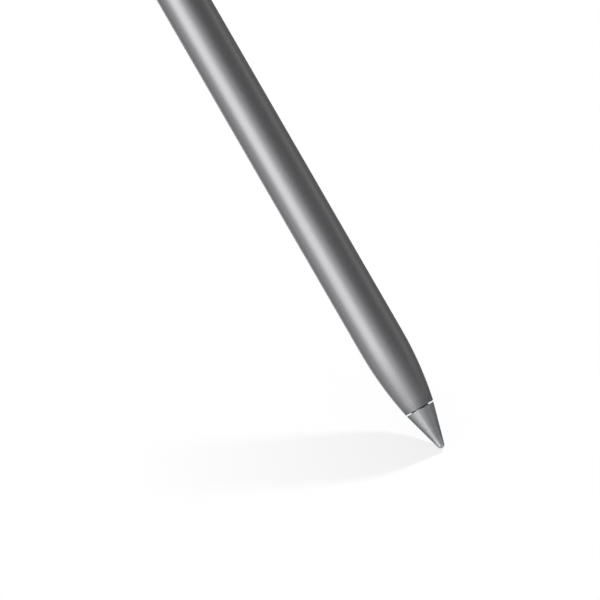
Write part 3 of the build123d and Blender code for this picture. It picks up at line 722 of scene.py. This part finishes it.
def strip_light(name, degrees, distance, height, aim, size, watts):
    """A soft box turned round the pen from the camera's side, facing the axis, that lights gloss alone."""
    turn = math.radians(degrees)
    place = Vector((distance * math.sin(turn), -distance * math.cos(turn), height))
    strip = soft_box(name, place, pen_axis * aim, pen_axis, size, watts)
    strip.visible_diffuse = False


def reflection_card(name, turn, rise, tone):
    """A curved card round part of the pen: (R sin a, -R cos a, z), a over turn in degrees, z over rise."""
    angle = np.radians(np.linspace(*turn, card_steps))
    x, y = card_radius * np.sin(angle), -card_radius * np.cos(angle)
    low, high = (np.column_stack([x, y, np.full(card_steps, height)]) for height in rise)
    step = np.arange(card_steps - 1)
    quads = np.column_stack([step, step + 1, step + card_steps + 1, step + card_steps])
    mesh = bpy.data.meshes.new(name)
    mesh.from_pydata(np.vstack([low, high]), [], quads.tolist())
    material, shader = new_finish(name)[:2]
    fill(shader, {"Base Color": (0, 0, 0, 1), "Roughness": 1.0, "Specular IOR Level": 0.0})
    fill(shader, {"Emission Color": (tone, tone, tone, 1), "Emission Strength": 1.0})
    mesh.materials.append(material)
    card = bpy.data.objects.new(name, mesh)
    card.visible_camera = card.visible_diffuse = card.visible_shadow = card.visible_transmission = False
    bpy.context.scene.collection.objects.link(card)


strip_light("barrel_strip", degrees=-44, distance=0.6, height=0.33, aim=0.33, size=(0.53, 0.78), watts=5.0)
strip_light("nose_strip", degrees=-17, distance=0.6, height=-0.07, aim=-0.07, size=(0.56, 0.14), watts=0.42)
strip_light("nib_strip", degrees=-52, distance=0.5, height=-0.30, aim=0.004, size=(0.54, 0.09), watts=0.61)
key_place = contact + key_distance * key_way
key_light = soft_box("key_light", key_place, contact, view_back, size=(0.09, 0.09), watts=21)
key_light.visible_glossy = False
reflection_card("front_card", turn=(12, 40), rise=(-0.03, card_top), tone=dim)
reflection_card("nib_card", turn=(24, 44), rise=(-0.36, -0.13), tone=dim)
reflection_card("side_card", turn=(40, 86), rise=(-0.115, card_top), tone=dim)
reflection_card("low_card", turn=(86, 104), rise=(-0.30, -0.05), tone=dim)
reflection_card("rear_card", turn=(104, 172), rise=(-0.30, card_top), tone=1.15 * dim)
reflection_card("back_card", turn=(-188, -153), rise=(-0.30, card_top), tone=bright)
reflection_card("left_card", turn=(-146, -118), rise=(-0.50, card_top), tone=grey)

# White surroundings. Seen directly, in gloss or through glass they are plain white; what they add to
# the light on matt surfaces is softer.
matt_level = 0.48
surroundings = bpy.data.worlds.new("white_surroundings")
bpy.context.scene.world = surroundings
surroundings.use_nodes = True
backdrop = surroundings.node_tree.nodes["Background"]
ray = surroundings.node_tree.nodes.new("ShaderNodeLightPath").outputs
seen = Signal(ray["Is Camera Ray"]) + Signal(ray["Is Glossy Ray"]) + Signal(ray["Is Transmission Ray"])
brightness = matt_level + (1 - matt_level) * seen.math("MINIMUM", 1)
fill(backdrop, {"Color": (1, 1, 1, 1), "Strength": brightness})

# Camera. A long lens square to the pen, with the picture turned so that the pen leans 30 degrees.
# The frame's middle and its 111.5 mm of width come from the barrel's width in the photograph.
lens, sensor = 1000.0, 36.0
frame_width = 111.5 * mm
frame_middle = Vector((-9.195 * mm, 0, 37.031 * mm))
camera_data = bpy.data.cameras.new("camera")
camera_data.lens, camera_data.sensor_width = lens, sensor
camera = bpy.data.objects.new("camera", camera_data)
camera.matrix_world = Matrix((view_right, view_up, view_back)).transposed().to_4x4()
camera.location = frame_middle + view_back * (frame_width * lens / sensor)
bpy.context.scene.collection.objects.link(camera)
bpy.context.scene.camera = camera
bpy.context.scene.view_settings.view_transform = "Standard"
